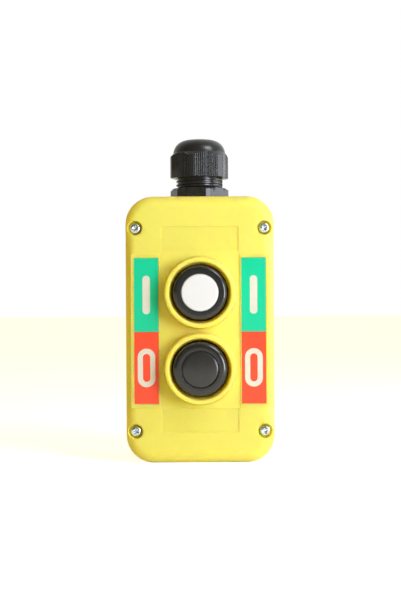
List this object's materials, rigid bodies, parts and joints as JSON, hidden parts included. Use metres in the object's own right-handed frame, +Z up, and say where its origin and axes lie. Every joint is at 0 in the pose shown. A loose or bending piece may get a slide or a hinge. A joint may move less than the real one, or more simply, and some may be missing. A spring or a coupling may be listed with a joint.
{
  "type": "pendant push-button station",
  "caption": "Upright yellow pendant push-button station: screwed two-part casing, booted push buttons in guard collars, contact blocks inside, cable gland on top.",
  "frame": {"origin": "under the middle of the casing, on the plane it stands on, halfway from the foremost disc to the back", "axes": "+Z up along the casing towards the gland, +Y from the buttons to the back, +X to the right seen from the front"},
  "size_m": [0.08, 0.0632, 0.1771],
  "materials": {
    "yellow_casing": "satin moulded, fine grain",
    "gasket_rubber": "matte",
    "zinc_plated_steel": "bright zinc",
    "brass": "turned",
    "green_label": "printed film, satin",
    "red_label": "printed film, satin",
    "ivory_print": "printed, satin",
    "black_nylon": "satin nylon",
    "boot_rubber": "soft satin",
    "white_disc": "smooth gloss",
    "black_disc": "satin",
    "grey_nylon": "moulded",
    "black_case": "moulded",
    "white_carrier": "moulded",
    "spring_steel": "drawn wire",
    "contact_brass": "stamped"
  },
  "bodies": {
    "housing": {"front_cover": "yellow_casing", "rear_housing": "yellow_casing", "cover_gasket": "gasket_rubber", "cover_screws": "zinc_plated_steel", "screw_inserts": "brass", "left_green_label": "green_label", "right_green_label": "green_label", "left_red_label": "red_label", "right_red_label": "red_label", "left_on_bar": "ivory_print", "right_on_bar": "ivory_print", "left_off_ring": "ivory_print", "right_off_ring": "ivory_print", "gland_body": "black_nylon", "gland_o_ring": "gasket_rubber", "gland_locknut": "black_nylon", "upper_return_spring": "spring_steel", "lower_return_spring": "spring_steel", "upper_bushing": "grey_nylon", "lower_bushing": "grey_nylon", "upper_bushing_nut": "black_case", "lower_bushing_nut": "black_case", "upper_carrier_spring": "spring_steel", "lower_carrier_spring": "spring_steel", "upper_contact_case": "black_case", "lower_contact_case": "black_case", "upper_contact_base": "grey_nylon", "lower_contact_base": "grey_nylon", "upper_fixed_contacts": "contact_brass", "lower_fixed_contacts": "contact_brass", "terminal_screws": "zinc_plated_steel", "mounting_rail": "zinc_plated_steel", "rail_screws": "zinc_plated_steel"},
    "upper_button": {"upper_boot": "boot_rubber", "upper_disc": "white_disc", "upper_plunger": "grey_nylon", "upper_clip": "spring_steel", "upper_carrier": "white_carrier", "upper_contact_spring": "spring_steel"},
    "lower_button": {"lower_boot": "boot_rubber", "lower_disc": "black_disc", "lower_plunger": "grey_nylon", "lower_clip": "spring_steel", "lower_carrier": "white_carrier", "lower_contact_spring": "spring_steel"},
    "upper_bridge": {"upper_bridge": "contact_brass"},
    "lower_bridge": {"lower_bridge": "contact_brass"},
    "gland_clamp": {"gland_claw": "black_nylon", "gland_seal": "gasket_rubber"},
    "dome_nut": {"gland_dome_nut": "black_nylon"}
  },
  "joints": [
    {"name": "upper_button_press", "type": "slide", "parent": "housing", "child": "upper_button", "axis": [0, 1, 0], "range_m": [0, 0.004], "stiffness_N_per_m": 900, "springref_m": -0.003, "deforming": ["upper_boot", "upper_return_spring", "upper_carrier_spring"]},
    {"name": "upper_bridge_travel", "type": "slide", "parent": "housing", "child": "upper_bridge", "axis": [0, 1, 0], "range_m": [0, 0.0024], "deforming": ["upper_contact_spring"]},
    {"name": "lower_button_press", "type": "slide", "parent": "housing", "child": "lower_button", "axis": [0, 1, 0], "range_m": [0, 0.004], "stiffness_N_per_m": 900, "springref_m": -0.003, "deforming": ["lower_boot", "lower_return_spring", "lower_carrier_spring"]},
    {"name": "lower_bridge_travel", "type": "slide", "parent": "housing", "child": "lower_bridge", "axis": [0, 1, 0], "range_m": [0, 0.0024], "deforming": ["lower_contact_spring"]},
    {"name": "gland_clamp_travel", "type": "slide", "parent": "housing", "child": "gland_clamp", "axis": [0, 0, 1], "range_m": [-0.003, 0.003]},
    {"name": "dome_nut_turn", "type": "hinge", "parent": "gland_clamp", "child": "dome_nut", "pos_m": [0, 0.0106, 0.1668], "axis": [0, 0, 1], "range_deg": [-540, 540]}
  ],
  "couplings": [
    {"joint": "upper_bridge_travel", "follows": "upper_button_press", "ratio": 0.6},
    {"joint": "lower_bridge_travel", "follows": "lower_button_press", "ratio": 0.6},
    {"joint": "gland_clamp_travel", "follows": "dome_nut_turn", "m_per_rad": 0.0003183}
  ]
}
